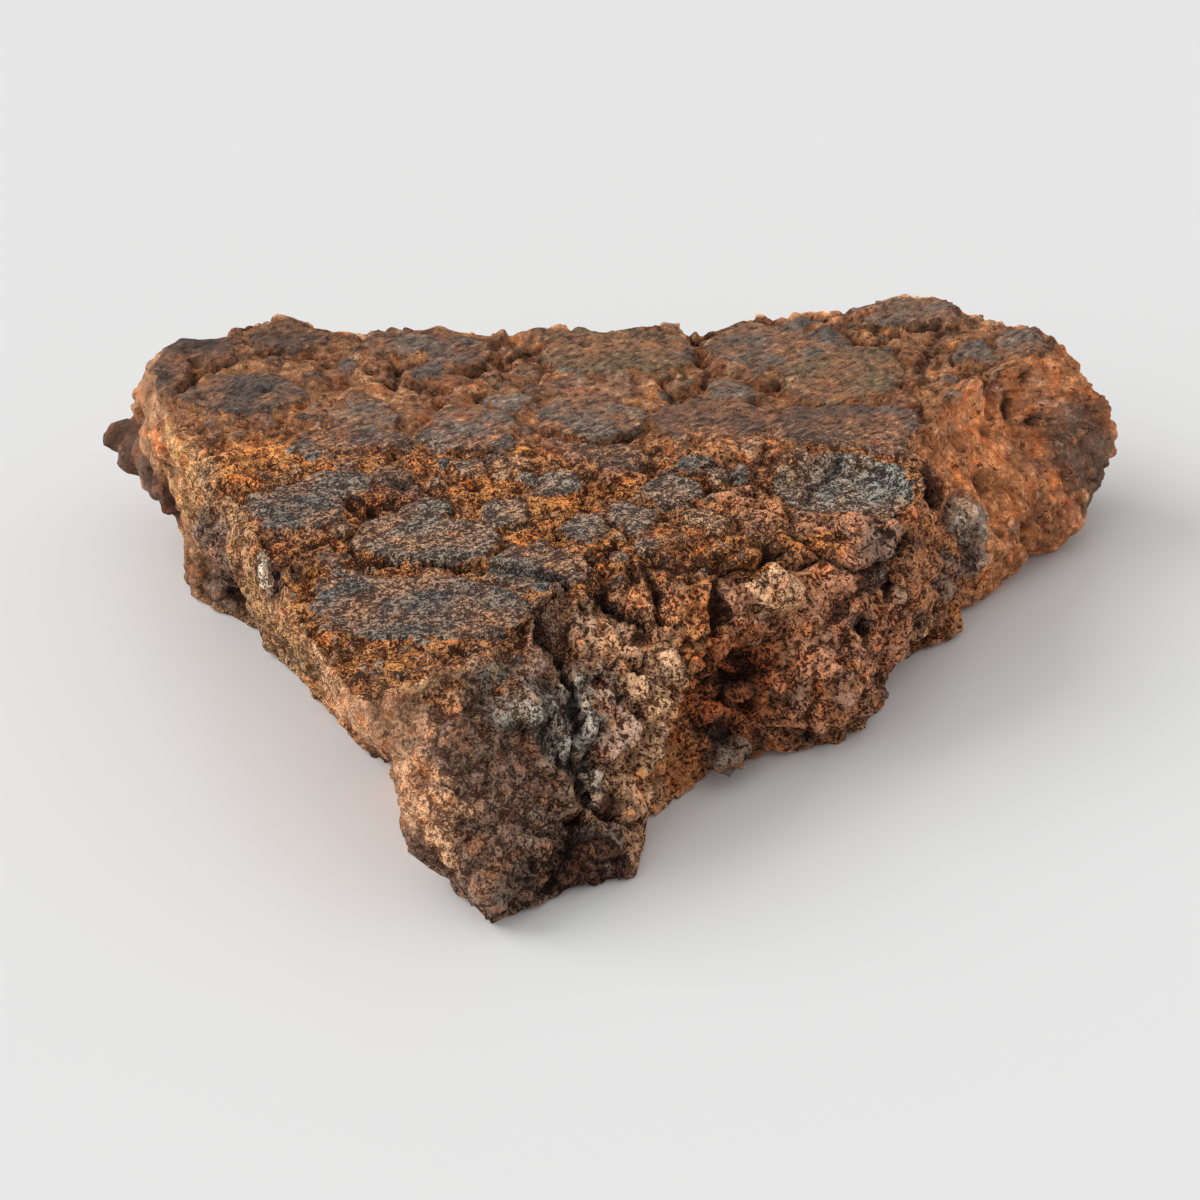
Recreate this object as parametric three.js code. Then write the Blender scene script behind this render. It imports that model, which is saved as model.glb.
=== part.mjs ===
// A broken slice of a metal-rich stony meteorite, lying on its sawn underside.
// It is one stone. Two saw cuts made the flat top and underside, and the edge all round is a rough break that
// leaves whole chondrules (round grains of the stone) standing out of the rusty matrix.
// Millimetres, +Z up. The origin is on the underside, below the middle of the stone's box.
import * as THREE from 'three';
import { mergeVertices } from 'three/addons/utils/BufferGeometryUtils.js';

// Driving dimensions
const THICKNESS = 6.8;
const SHOULDER_HEIGHT = 5.0;
const WAIST_HEIGHT = 2.5;
const RIM_WEAR = 0.5; // radius of the worn top edge
const FOOT_WEAR = 0.35; // radius of the worn bottom edge
const LEAST_CLEARANCE = 0.05; // nothing on the broken edge comes lower than this
const AXIS = { x: -0.03, y: 3.1 }; // the upright line from which every reach is measured

// How finely the stone is faceted
const STATIONS = 140; // round the edge
const SIDE_RINGS = 24; // from the underside to the top
const SIDE_CROWDING = 0.35; // from 0 to 1, the rings of the edge crowd towards its two corners
const TOP_RINGS = 7; // from the rim to the middle of the top
const TOP_CROWDING = 1.4; // above 1, the rings of the top crowd towards the rim

// Four outlines of the stone, seen from above and measured from the axis, counter-clockwise from the right.
// The left edge leans in under the top, and the front and right edges lean out.
const RIM = [
  [10.4, 0.4], [11.4, 3.2], [13.4, 5.5], [15.7, 7.3], [15.8, 8.3], [15.4, 9.9], [12.9, 10.1], [12.6, 12.1],
  [10.3, 11.5], [7.6, 10.0], [6.3, 10.0], [5.3, 10.6], [3.3, 8.9], [2.4, 9.9], [-0.7, 9.1], [-3.7, 9.6],
  [-5.2, 9.2], [-7.3, 9.7], [-9.3, 8.8], [-12.1, 10.0], [-13.7, 9.1], [-16.0, 7.7], [-16.4, 6.2],
  [-15.6, 3.2], [-13.6, -0.1], [-12.3, -3.6], [-11.3, -6.6], [-10.2, -9.4], [-9.5, -12.0], [-8.7, -13.8],
  [-7.8, -15.3], [-6.2, -15.2], [-4.2, -13.8], [-2.7, -11.4], [-1.4, -8.9], [1.0, -8.2], [3.2, -8.0],
  [4.9, -6.4], [5.9, -4.7], [7.0, -4.2], [8.6, -4.1], [10.2, -3.3], [10.8, -2.2],
];
const SHOULDER = [
  [10.6, -0.8], [11.4, 1.4], [13.2, 4.3], [15.3, 6.1], [17.5, 7.4], [16.9, 8.4], [16.1, 10.4],
  [12.8, 11.0], [10.1, 11.4], [6.6, 11.1], [3.3, 9.8], [0.0, 10.7], [-3.7, 9.6], [-7.3, 9.6], [-10.0, 9.3],
  [-12.1, 9.6], [-17.0, 9.3], [-16.9, 6.7], [-16.2, 3.4], [-14.3, -0.4], [-12.8, -3.8], [-11.6, -6.9],
  [-10.1, -9.8], [-9.1, -12.4], [-8.1, -14.5], [-7.1, -16.1], [-5.0, -15.8], [-3.3, -14.4], [-1.8, -12.6],
  [0.2, -11.8], [1.6, -10.8], [2.9, -9.4], [4.6, -8.6], [7.0, -7.2], [9.0, -5.2], [10.3, -3.0],
];
const WAIST = [
  [11.2, -1.6], [12.0, 0.4], [15.4, 3.3], [15.8, 4.5], [17.5, 6.7], [18.1, 8.2], [16.4, 10.0],
  [13.2, 11.2], [9.5, 11.4], [6.0, 10.5], [3.0, 9.8], [0.0, 9.5], [-3.5, 9.5], [-7.0, 9.5], [-10.0, 9.3],
  [-13.0, 9.8], [-15.8, 8.8], [-16.9, 7.1], [-15.7, 4.5], [-14.2, 0.8], [-13.0, -1.6], [-11.3, -3.8],
  [-10.0, -7.2], [-8.5, -9.8], [-7.1, -11.8], [-6.1, -13.6], [-6.1, -16.6], [-4.4, -17.1], [-2.6, -16.6],
  [-0.6, -15.4], [0.8, -12.9], [1.5, -11.4], [2.2, -10.4], [3.7, -10.3], [5.3, -8.9], [7.5, -8.2],
  [8.8, -5.9], [10.3, -3.7],
];
const FOOT = [
  [11.8, -1.4], [12.2, 1.1], [14.5, 4.1], [16.0, 6.3], [16.6, 8.4], [15.0, 10.0], [12.0, 10.8],
  [8.0, 10.6], [4.0, 9.8], [0.0, 9.2], [-4.0, 9.2], [-8.0, 9.0], [-12.0, 9.0], [-14.8, 7.3], [-14.6, 4.7],
  [-15.4, 2.0], [-13.7, 0.0], [-12.0, -1.2], [-10.6, -3.9], [-8.7, -7.4], [-6.9, -9.9], [-6.6, -14.2],
  [-4.9, -15.3], [-3.8, -18.5], [-2.2, -17.4], [-0.9, -16.4], [0.8, -16.3], [1.3, -12.5], [2.0, -11.6],
  [3.3, -9.8], [5.1, -8.1], [7.7, -8.2], [9.0, -5.8], [10.0, -3.0],
];

// Chondrules and hollows of the broken edge, each as its bearing from the axis in degrees, height,
// half width, half height, and how far it stands proud of the edge, less than nothing for a hollow.
const EDGE_FEATURES = [
  // the blunt front corner: a broad rough block with a round lump at its top and a knob at its foot
  [256, 3.6, 3.0, 3.6, 0.6], [259, 5.0, 2.0, 1.0, 0.25], [257.8, 6.0, 0.9, 0.8, 0.4],
  [258.3, 0.9, 0.5, 0.9, 0.5], [262, 1.0, 1.0, 0.7, 0.3], [254.6, 3.3, 0.35, 0.35, 0.15],
  [247, 2.6, 0.5, 0.6, 0.35], [243, 3.6, 0.5, 0.6, 0.7],
  // the block right of the front corner, with a cleft before it and a ledge over a low lump
  [278, 4.2, 1.4, 1.8, 0.35], [276, 2.4, 1.4, 0.9, 0.35], [269.7, 4.0, 1.15, 1.15, 0.5],
  [267.3, 3.2, 0.75, 0.8, 0.4], [265.5, 5.0, 0.5, 0.5, 0.3], [269.7, 5.2, 0.55, 0.5, 0.35],
  [273, 5.6, 0.9, 0.5, 0.3], [268.5, 1.0, 1.7, 1.3, 0.2], [270.5, 2.0, 1.4, 0.4, -0.2],
  [264.3, 4.3, 0.9, 1.5, 0.6],
  // the deep hollow and the lumps that hang below it
  [293, 3.0, 1.7, 2.0, -1.45], [299, 4.2, 1.4, 1.0, -0.7], [290, 1.2, 0.8, 0.8, 0.5],
  [297, 1.0, 0.5, 0.45, 0.4], [296.5, 2.7, 0.5, 0.4, 0.4], [301, 3.2, 0.6, 0.5, 0.4],
  // the block right of the hollow, and the large chondrule at the rim above it
  [313, 4.2, 1.7, 1.7, 0.35], [304.5, 5.7, 1.1, 1.0, 0.5], [295, 5.6, 0.6, 0.9, 0.35],
  [306, 1.7, 1.3, 1.0, 0.35], [320, 1.8, 1.0, 1.0, 0.3], [308, 0.8, 0.8, 0.45, 0.3],
  [329, 5.9, 2.4, 1.5, 0.45], [322, 4.9, 1.6, 0.4, -0.4], [321.5, 3.5, 0.5, 0.9, -0.5],
  [332, 4.4, 0.5, 0.5, -0.4],
  // the right-hand break: low mounds, two scoops under the rim and one pit
  [20, 6.0, 2.4, 1.6, -0.45], [10, 4.0, 1.6, 1.5, -0.2], [20.5, 3.0, 1.4, 2.0, 0.35],
  [4.3, 3.3, 1.0, 1.0, 0.2], [3, 2.2, 0.8, 0.9, 0.2], [346, 1.3, 0.9, 0.9, 0.3],
  [3.9, 5.0, 0.8, 0.7, -0.7],
  // the left-hand break: a pointed spur at the corner, low lumps and a pit at the rim
  [176, 5.2, 1.8, 1.9, 0.15], [192, 4.4, 1.3, 1.7, 0.25], [172, 5.8, 1.2, 0.8, 0.25],
  [160.5, 3.0, 1.7, 1.5, 0.5], [159, 3.5, 1.1, 0.9, 0.5], [158, 3.9, 0.65, 0.5, 0.65],
  [167, 3.0, 1.1, 0.8, 0.2], [182, 2.0, 0.9, 1.0, 0.4], [177.4, 0.9, 1.2, 0.8, 0.35],
  [203, 2.4, 1.0, 0.9, 0.3], [213, 6.2, 0.75, 0.95, 0.15], [217, 6.4, 0.6, 0.7, -0.4],
];

const LUMP_ROUNDNESS = 0.6; // a lump is steep at its foot and round on top
const HOLLOW_ROUNDNESS = 1.4; // a hollow has a soft brink

// The back edge carries chondrules of the same sizes, spread evenly by the golden section.
const BACK_LUMPS = 16;
const BACK_BEARINGS = [36, 152];
const BACK_HEIGHTS = [0.9, 6.2];
const BACK_HALF_SIZES = [0.8, 2.0];
const BACK_PROUD = 0.42; // share of the half size
const GOLDEN_STEPS = [0.618, 0.755, 0.57]; // of the bearing, the height and the size

// The large chondrule at the right of the rim was cut level and sits on a shelf below the rest of the top.
const SHELF = { x: 7.9, y: -2.4, halfLength: 2.5, halfWidth: 2.0, turn: -4, drop: 0.55 };
const SHELF_SLOPE = [0.8, 1.15]; // shares of the oval between which the shelf rises to the top

// Unevenness: the size of its swells and their height. On the top it only goes down from the saw cut.
const BREAK_SWELLS = [[2.6, 0.42], [1.2, 0.24]];
const TOP_SWELLS = [[3.4, 0.1]];
const TOP_WEATHERING = 0.1;

const { clamp, degToRad, lerp, mapLinear, radToDeg, smoothstep } = THREE.MathUtils;
const fraction = (value) => value - Math.floor(value);
const bearingOf = (x, y) => (radToDeg(Math.atan2(y, x)) + 360) % 360;

// An outline as bearings with their reaches, in order of bearing and closed at both ends.
function polar(outline) {
  const rays = outline.map(([x, y]) => ({ bearing: bearingOf(x, y), reach: Math.hypot(x, y) }));
  rays.sort((a, b) => a.bearing - b.bearing);
  const first = rays[0];
  const last = rays[rays.length - 1];
  const before = { bearing: last.bearing - 360, reach: last.reach };
  const after = { bearing: first.bearing + 360, reach: first.reach };
  return [before, ...rays, after];
}

const LEVELS = [THICKNESS, SHOULDER_HEIGHT, WAIST_HEIGHT, 0];
const OUTLINES = [RIM, SHOULDER, WAIST, FOOT].map(polar);

// The reach of an outline at a bearing, straight from one of its points to the next.
function outlineReach(rays, bearing) {
  const next = rays.findIndex((ray) => ray.bearing > bearing);
  const a = rays[next - 1];
  const b = rays[next];
  return mapLinear(bearing, a.bearing, b.bearing, a.reach, b.reach);
}

// How far a worn edge draws in, at a depth below a corner of that radius.
function wear(depth, radius) {
  const rest = 1 - clamp(depth / radius, 0, 1);
  return radius * (1 - Math.sqrt(1 - rest * rest));
}

// The reach of the edge at a bearing and height: the cubic through the four outlines, with worn corners.
function edgeReach(bearing, height) {
  const reach = OUTLINES.reduce((sum, rays, i) => {
    const others = LEVELS.filter((level) => level !== LEVELS[i]);
    const weight = others.reduce((product, level) => product * (height - level) / (LEVELS[i] - level), 1);
    return sum + weight * outlineReach(rays, bearing);
  }, 0);
  return reach - wear(THICKNESS - height, RIM_WEAR) - wear(height, FOOT_WEAR);
}

function onEdge(bearing, height) {
  const reach = edgeReach(bearing, height);
  const angle = degToRad(bearing);
  return new THREE.Vector3(reach * Math.cos(angle), reach * Math.sin(angle), height);
}

// A repeatable number from 0 to 1 for a corner of the grain lattice.
function cornerValue(i, j, k) {
  let mixed = Math.imul(i, 0x8da6b343) ^ Math.imul(j, 0xd8163841) ^ Math.imul(k, 0xcb1ab31f);
  mixed = Math.imul(mixed ^ (mixed >>> 13), 0x5bd1e995);
  return ((mixed ^ (mixed >>> 15)) >>> 0) / 2 ** 32;
}

// Smooth unevenness from -1 to 1, with swells of the given size: lattice corners blended along each axis.
function swell(point, size) {
  const scaled = point.toArray().map((value) => value / size);
  const cell = scaled.map(Math.floor);
  const blend = scaled.map((value) => smoothstep(fraction(value), 0, 1));
  let sum = 0;
  for (const i of [0, 1]) {
    for (const j of [0, 1]) {
      for (const k of [0, 1]) {
        const weight = [i, j, k].reduce((w, far, axis) => w * (far ? blend[axis] : 1 - blend[axis]), 1);
        sum += weight * cornerValue(cell[0] + i, cell[1] + j, cell[2] + k);
      }
    }
  }
  return 2 * sum - 1;
}

function unevenness(point, swells) {
  return swells.reduce((sum, [size, height]) => sum + height * swell(point, size), 0);
}

function backFeatures() {
  return Array.from({ length: BACK_LUMPS }, (_, i) => {
    const [along, up, size] = GOLDEN_STEPS.map((step) => fraction((i + 1) * step));
    const half = lerp(...BACK_HALF_SIZES, size);
    return [lerp(...BACK_BEARINGS, along), lerp(...BACK_HEIGHTS, up), half, half, BACK_PROUD * half];
  });
}

// A feature with its centre on the edge and the level direction along the edge there.
function placed([bearing, height, halfWidth, halfHeight, proud]) {
  const angle = degToRad(bearing);
  const along = new THREE.Vector3(-Math.sin(angle), Math.cos(angle), 0);
  return { centre: onEdge(bearing, height), along, halfWidth, halfHeight, proud };
}

const FEATURES = [...EDGE_FEATURES, ...backFeatures()].map(placed);

// How far the features lift or hollow the edge at a point: each is a dome over an oval of its two half sizes.
function relief(point) {
  return FEATURES.reduce((sum, { centre, along, halfWidth, halfHeight, proud }) => {
    const offset = point.clone().sub(centre);
    const level = offset.dot(along);
    const uprightSquared = offset.lengthSq() - level * level;
    const rest = 1 - (level / halfWidth) ** 2 - uprightSquared / halfHeight ** 2;
    const roundness = proud > 0 ? LUMP_ROUNDNESS : HOLLOW_ROUNDNESS;
    return rest > 0 ? sum + proud * rest ** roundness : sum;
  }, 0);
}

// How far the shelf lowers the top at a point: flat inside its oval, with a short slope round it.
function shelfDrop(point) {
  const turn = degToRad(SHELF.turn);
  const dx = point.x - SHELF.x;
  const dy = point.y - SHELF.y;
  const length = (dx * Math.cos(turn) + dy * Math.sin(turn)) / SHELF.halfLength;
  const width = (dy * Math.cos(turn) - dx * Math.sin(turn)) / SHELF.halfWidth;
  return SHELF.drop * (1 - smoothstep(Math.hypot(length, width), ...SHELF_SLOPE));
}

// The bearing that lies a share of the way round the waist, so that the facets are as wide all round.
const waistPath = new THREE.Path(WAIST.map(([x, y]) => new THREE.Vector2(x, y))).closePath();
function stationBearing(turn) {
  const point = waistPath.getPoint(turn);
  return bearingOf(point.x, point.y);
}

// The unit drum that becomes the stone: from the middle of the underside, up the edge, to the middle of
// the top. Its radius is a share of the reach and its height a share of the thickness.
function drum() {
  const edge = Array.from({ length: SIDE_RINGS + 1 }, (_, i) => {
    const step = i / SIDE_RINGS;
    return new THREE.Vector2(1, lerp(step, smoothstep(step, 0, 1), SIDE_CROWDING));
  });
  const top = Array.from({ length: TOP_RINGS }, (_, i) => {
    const inward = ((i + 1) / TOP_RINGS) ** TOP_CROWDING;
    return new THREE.Vector2(1 - inward, 1);
  });
  const geometry = new THREE.LatheGeometry([new THREE.Vector2(0, 0), ...edge, ...top], STATIONS);
  geometry.rotateX(Math.PI / 2);
  geometry.deleteAttribute('normal');
  geometry.deleteAttribute('uv');
  return mergeVertices(geometry);
}

// The drum drawn out to the four outlines, and for each of its points whether it lies on the broken edge.
function roughOut() {
  const geometry = drum();
  const position = geometry.getAttribute('position');
  const onBreak = [];
  for (let i = 0; i < position.count; i += 1) {
    const [x, y, z] = [position.getX(i), position.getY(i), position.getZ(i)];
    const out = Math.hypot(x, y);
    const edge = onEdge(stationBearing(bearingOf(x, y) / 360), z * THICKNESS);
    position.setXYZ(i, edge.x * out, edge.y * out, edge.z);
    onBreak.push(out > 1 - 0.5 / TOP_RINGS ** TOP_CROWDING);
  }
  return { geometry, onBreak };
}

// The stone: every point of the rough form is lifted or sunk along the normal there. The underside stays
// flat, and nothing rises above the saw cut of the top.
function stone() {
  const { geometry, onBreak } = roughOut();
  geometry.computeVertexNormals();
  const position = geometry.getAttribute('position');
  const normal = geometry.getAttribute('normal');
  const point = new THREE.Vector3();
  const outward = new THREE.Vector3();
  for (let i = 0; i < position.count; i += 1) {
    point.fromBufferAttribute(position, i);
    outward.fromBufferAttribute(normal, i);
    const height = point.z;
    const weathering = onBreak[i] ? 0 : TOP_WEATHERING;
    const rough = unevenness(point, onBreak[i] ? BREAK_SWELLS : TOP_SWELLS) - weathering;
    point.addScaledVector(outward, (relief(point) + rough) * smoothstep(height, 0, FOOT_WEAR));
    point.z -= shelfDrop(point) * smoothstep(point.z, SHOULDER_HEIGHT, THICKNESS);
    if (height > 0) {
      point.z = clamp(point.z, LEAST_CLEARANCE, THICKNESS);
    }
    position.setXYZ(i, point.x, point.y, point.z);
  }
  geometry.translate(AXIS.x, AXIS.y, 0);
  return geometry;
}

const rust = new THREE.MeshStandardMaterial({ color: 0x76563f, roughness: 0.85, metalness: 0.1 });
const slice = new THREE.Mesh(stone(), rust);
slice.name = 'meteorite_slice';

const part = new THREE.Group();
part.add(slice);
export default part;
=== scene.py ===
# A broken, triangular slice of a rusty metal-rich stony meteorite, lying on a pale table top.
from math import cos, radians, sin

import bpy
import numpy as np
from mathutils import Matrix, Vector


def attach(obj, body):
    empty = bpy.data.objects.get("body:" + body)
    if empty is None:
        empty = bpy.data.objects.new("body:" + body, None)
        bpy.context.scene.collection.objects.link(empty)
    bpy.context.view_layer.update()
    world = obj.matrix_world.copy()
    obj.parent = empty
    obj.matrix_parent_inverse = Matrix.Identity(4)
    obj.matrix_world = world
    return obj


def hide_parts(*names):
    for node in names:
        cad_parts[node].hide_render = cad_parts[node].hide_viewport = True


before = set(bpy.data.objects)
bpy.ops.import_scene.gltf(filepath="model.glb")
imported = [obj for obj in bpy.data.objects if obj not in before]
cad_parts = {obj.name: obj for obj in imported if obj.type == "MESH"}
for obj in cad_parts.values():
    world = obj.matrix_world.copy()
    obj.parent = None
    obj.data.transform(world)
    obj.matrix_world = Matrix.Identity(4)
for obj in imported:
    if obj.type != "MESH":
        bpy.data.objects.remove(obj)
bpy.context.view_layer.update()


# The table top
# A wide sheet of smooth white plastic with a faint gloss. The slice lies loose on it.
FLOOR_REACH = 2.0  # metres each way
FLOOR_CLEARANCE = 0.00002

table_mesh = bpy.data.meshes.new("table_top")
table_corners = [(-1, -1), (1, -1), (1, 1), (-1, 1)]
table_mesh.from_pydata(
    [(x * FLOOR_REACH, y * FLOOR_REACH, -FLOOR_CLEARANCE) for x, y in table_corners], [], [(0, 1, 2, 3)]
)
table_top = bpy.data.objects.new("table_top", table_mesh)
bpy.context.collection.objects.link(table_top)
white_plastic = bpy.data.materials.new("white_plastic")
white_plastic.use_nodes = True
plastic_shader = white_plastic.node_tree.nodes["Principled BSDF"]
plastic_shader.inputs["Base Color"].default_value = (0.8, 0.8, 0.8, 1)
plastic_shader.inputs["Roughness"].default_value = 0.32
plastic_shader.inputs["Specular IOR Level"].default_value = 0.35
table_mesh.materials.append(white_plastic)


# The slice: its rough form
# One piece of stone. Two parallel saw cuts left a flat top and underside, and the rest of the outline is a
# break that leans in on the left and out at the front and right. Millimetres, measured from an upright axis.
AXIS = np.array([-0.03, 3.1, 0.0])
THICKNESS = 6.8
LEVELS = [THICKNESS, 5.0, 2.5, 0.0]
RIM_WEAR = 0.5
FOOT_WEAR = 0.35
RIM = np.array([
    (10.4, 0.4), (11.4, 3.2), (13.4, 5.5), (15.7, 7.3), (15.8, 8.3), (15.4, 9.9), (12.9, 10.1),
    (12.6, 12.1), (10.3, 11.5), (7.6, 10.0), (6.3, 10.0), (5.3, 10.6), (3.3, 8.9), (2.4, 9.9), (-0.7, 9.1),
    (-3.7, 9.6), (-5.2, 9.2), (-7.3, 9.7), (-9.3, 8.8), (-12.1, 10.0), (-13.7, 9.1), (-16.0, 7.7),
    (-16.4, 6.2), (-15.6, 3.2), (-13.6, -0.1), (-12.3, -3.6), (-11.3, -6.6), (-10.2, -9.4), (-9.5, -12.0),
    (-8.7, -13.8), (-7.8, -15.3), (-6.2, -15.2), (-4.2, -13.8), (-2.7, -11.4), (-1.4, -8.9), (1.0, -8.2),
    (3.2, -8.0), (4.9, -6.4), (5.9, -4.7), (7.0, -4.2), (8.6, -4.1), (10.2, -3.3), (10.8, -2.2),
])
SHOULDER = np.array([
    (10.6, -0.8), (11.4, 1.4), (13.2, 4.3), (15.3, 6.1), (17.5, 7.4), (16.9, 8.4), (16.1, 10.4),
    (12.8, 11.0), (10.1, 11.4), (6.6, 11.1), (3.3, 9.8), (0.0, 10.7), (-3.7, 9.6), (-7.3, 9.6),
    (-10.0, 9.3), (-12.1, 9.6), (-17.0, 9.3), (-16.9, 6.7), (-16.2, 3.4), (-14.3, -0.4), (-12.8, -3.8),
    (-11.6, -6.9), (-10.1, -9.8), (-9.1, -12.4), (-8.1, -14.5), (-7.1, -16.1), (-5.0, -15.8),
    (-3.3, -14.4), (-1.8, -12.6), (0.2, -11.8), (1.6, -10.8), (2.9, -9.4), (4.6, -8.6), (7.0, -7.2),
    (9.0, -5.2), (10.3, -3.0),
])
WAIST = np.array([
    (11.2, -1.6), (12.0, 0.4), (15.4, 3.3), (15.8, 4.5), (17.5, 6.7), (18.1, 8.2), (16.4, 10.0),
    (13.2, 11.2), (9.5, 11.4), (6.0, 10.5), (3.0, 9.8), (0.0, 9.5), (-3.5, 9.5), (-7.0, 9.5), (-10.0, 9.3),
    (-13.0, 9.8), (-15.8, 8.8), (-16.9, 7.1), (-15.7, 4.5), (-14.2, 0.8), (-13.0, -1.6), (-11.3, -3.8),
    (-10.0, -7.2), (-8.5, -9.8), (-7.1, -11.8), (-6.1, -13.6), (-6.1, -16.6), (-4.4, -17.1), (-2.6, -16.6),
    (-0.6, -15.4), (0.8, -12.9), (1.5, -11.4), (2.2, -10.4), (3.7, -10.3), (5.3, -8.9), (7.5, -8.2),
    (8.8, -5.9), (10.3, -3.7),
])
FOOT = np.array([
    (11.8, -1.4), (12.2, 1.1), (14.5, 4.1), (16.0, 6.3), (16.6, 8.4), (15.0, 10.0), (12.0, 10.8),
    (8.0, 10.6), (4.0, 9.8), (0.0, 9.2), (-4.0, 9.2), (-8.0, 9.0), (-12.0, 9.0), (-14.8, 7.3),
    (-14.6, 4.7), (-15.4, 2.0), (-13.7, 0.0), (-12.0, -1.2), (-10.6, -3.9), (-8.7, -7.4), (-6.9, -9.9),
    (-6.6, -14.2), (-4.9, -15.3), (-3.8, -18.5), (-2.2, -17.4), (-0.9, -16.4), (0.8, -16.3), (1.3, -12.5),
    (2.0, -11.6), (3.3, -9.8), (5.1, -8.1), (7.7, -8.2), (9.0, -5.8), (10.0, -3.0),
])
HALF_TOP = 100  # steps from the middle of the top to its rim
STATIONS = 8 * HALF_TOP  # round the edge
EDGE_ROWS = 58  # from the rim to the foot
EVEN_DESCENT = 0.75  # share of the way down that the rows take in even steps
HALF_UNDERSIDE = HALF_TOP // 2  # steps from the middle of the underside to the band along the foot
FOOT_BAND = 0.04  # share of the reach that this band takes up


def outline_reach(outline, bearing):
    """Reach of an outline at a bearing: straight in bearing from one of its points to the next."""
    corners = np.degrees(np.arctan2(outline[:, 1], outline[:, 0])) % 360
    order = np.argsort(corners)
    return np.interp(bearing, corners[order], np.hypot(*outline[order].T), period=360)


def wear(depth, radius):
    """How far a worn corner draws in: a quarter circle of that radius, by depth below the corner."""
    rest = 1 - np.clip(depth / radius, 0, 1)
    return radius * (1 - np.sqrt(1 - rest**2))


def on_edge(bearing, height):
    """Point of the broken edge: its reach is the cubic in height through the four outlines, less the wear."""
    reach = 0
    for level, outline in zip(LEVELS, (RIM, SHOULDER, WAIST, FOOT)):
        others = [other for other in LEVELS if other != level]
        weight = np.prod([(height - other) / (level - other) for other in others], axis=0)
        reach = reach + weight * outline_reach(outline, bearing)
    reach = reach - wear(THICKNESS - height, RIM_WEAR) - wear(height, FOOT_WEAR)
    angle = np.radians(bearing)
    return np.stack([reach * np.cos(angle), reach * np.sin(angle), height + 0 * reach], axis=-1)


def station_bearing(turn):
    """Bearing of the point that lies a share of the way round the waist outline."""
    closed = np.vstack([WAIST, WAIST[:1]])
    walked = np.append(0, np.cumsum(np.hypot(*np.diff(closed, axis=0).T)))
    x, y = (np.interp(turn, walked / walked[-1], closed[:, axis]) for axis in (0, 1))
    return np.degrees(np.arctan2(y, x)) % 360


def rough_cut(half, height, widest):
    """Square grid drawn onto an outline: the larger of the two parameters is the share of the reach outwards,
    and their ratio, with the side of the square it lies on, gives the share of the way round."""
    a, b = np.meshgrid(np.arange(-half, half + 1), np.arange(-half, half + 1))
    share = np.maximum(np.abs(a), np.abs(b)) / half
    wide = np.abs(a) >= np.abs(b)
    ratio = np.where(wide, b, -a) / np.where(share == 0, 1, np.where(wide, a, b))
    quarter = np.where(wide, np.where(a < 0, 2, 0), np.where(b < 0, 3, 1))
    points = on_edge(station_bearing((quarter / 4 + ratio / 8) % 1), np.full(share.shape, height))
    points[..., :2] *= widest * share[..., None]
    return points.reshape(-1, 3)


def rough_edge():
    """Grid of the break: one parameter runs round the waist, the other down from rim to foot. Part of the
    descent is even and the rest is level at both ends, so the rows lie closer at rim and foot."""
    step = np.linspace(0, 1, EDGE_ROWS + 1)[1:]
    height = THICKNESS * (1 - EVEN_DESCENT * step - (1 - EVEN_DESCENT) * step**2 * (3 - 2 * step))
    bearing = station_bearing(np.arange(STATIONS) / STATIONS)
    return on_edge(*np.meshgrid(bearing, np.maximum(height, 0))).reshape(-1, 3)


def grid_faces(half, first):
    """Four-sided faces of a square grid whose points are numbered from first, and the numbers of its border,
    walked once round from the right."""
    width = 2 * half + 1
    number = first + np.arange(width * width).reshape(width, width)
    faces = np.stack([number[:-1, :-1], number[:-1, 1:], number[1:, 1:], number[1:, :-1]], axis=-1)
    right, back, left, front = number[:, -1], number[-1, ::-1], number[::-1, 0], number[0]
    border = np.concatenate([right[half:-1], back[:-1], left[:-1], front[:-1], right[:half]])
    return faces.reshape(-1, 4), border


def joined_faces():
    """Faces of the three grids. Each point of the top's border heads a column of the edge grid, and each
    point of the underside's border meets every second foot point, with a triangle to the one between."""
    top, rim = grid_faces(HALF_TOP, 0)
    edge = rim.max() + 1 + np.arange(EDGE_ROWS * STATIONS).reshape(EDGE_ROWS, STATIONS)
    rows = np.vstack([rim, edge])
    following = np.roll(rows, -1, axis=1)
    side = np.stack([rows[:-1], rows[1:], following[1:], following[:-1]], axis=-1)
    underside, border = grid_faces(HALF_UNDERSIDE, edge.max() + 1)
    even, odd = rows[-1, ::2], rows[-1, 1::2]
    band = np.stack([odd, border, np.roll(border, -1), np.roll(even, -1)], axis=-1)
    triangles = np.stack([even, border, odd], axis=-1)
    return np.vstack([top, side.reshape(-1, 4), band, underside[:, ::-1]]), triangles


def point_normals(points, quads):
    """Unit normal at each point: the sum of the cross products of the diagonals of the faces round it."""
    across = np.cross(points[quads[:, 2]] - points[quads[:, 0]], points[quads[:, 3]] - points[quads[:, 1]])
    total = np.stack(
        [np.bincount(quads.ravel(), np.repeat(across[:, axis], 4), len(points)) for axis in range(3)], axis=-1
    )
    return total / np.maximum(np.linalg.norm(total, axis=1, keepdims=True), 1e-12)


quads, triangles = joined_faces()
upper_cut = rough_cut(HALF_TOP, THICKNESS, 1)
lower_cut = rough_cut(HALF_UNDERSIDE, 0.0, 1 - FOOT_BAND)
rough = np.vstack([upper_cut, rough_edge(), lower_cut])
top_count = len(upper_cut)
order = np.arange(len(rough))
on_top = order < top_count
on_break = (order >= top_count) & (order < top_count + (EDGE_ROWS - 1) * STATIONS)
underneath = ~on_top & ~on_break
bearing = np.degrees(np.arctan2(rough[:, 1], rough[:, 0])) % 360


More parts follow.
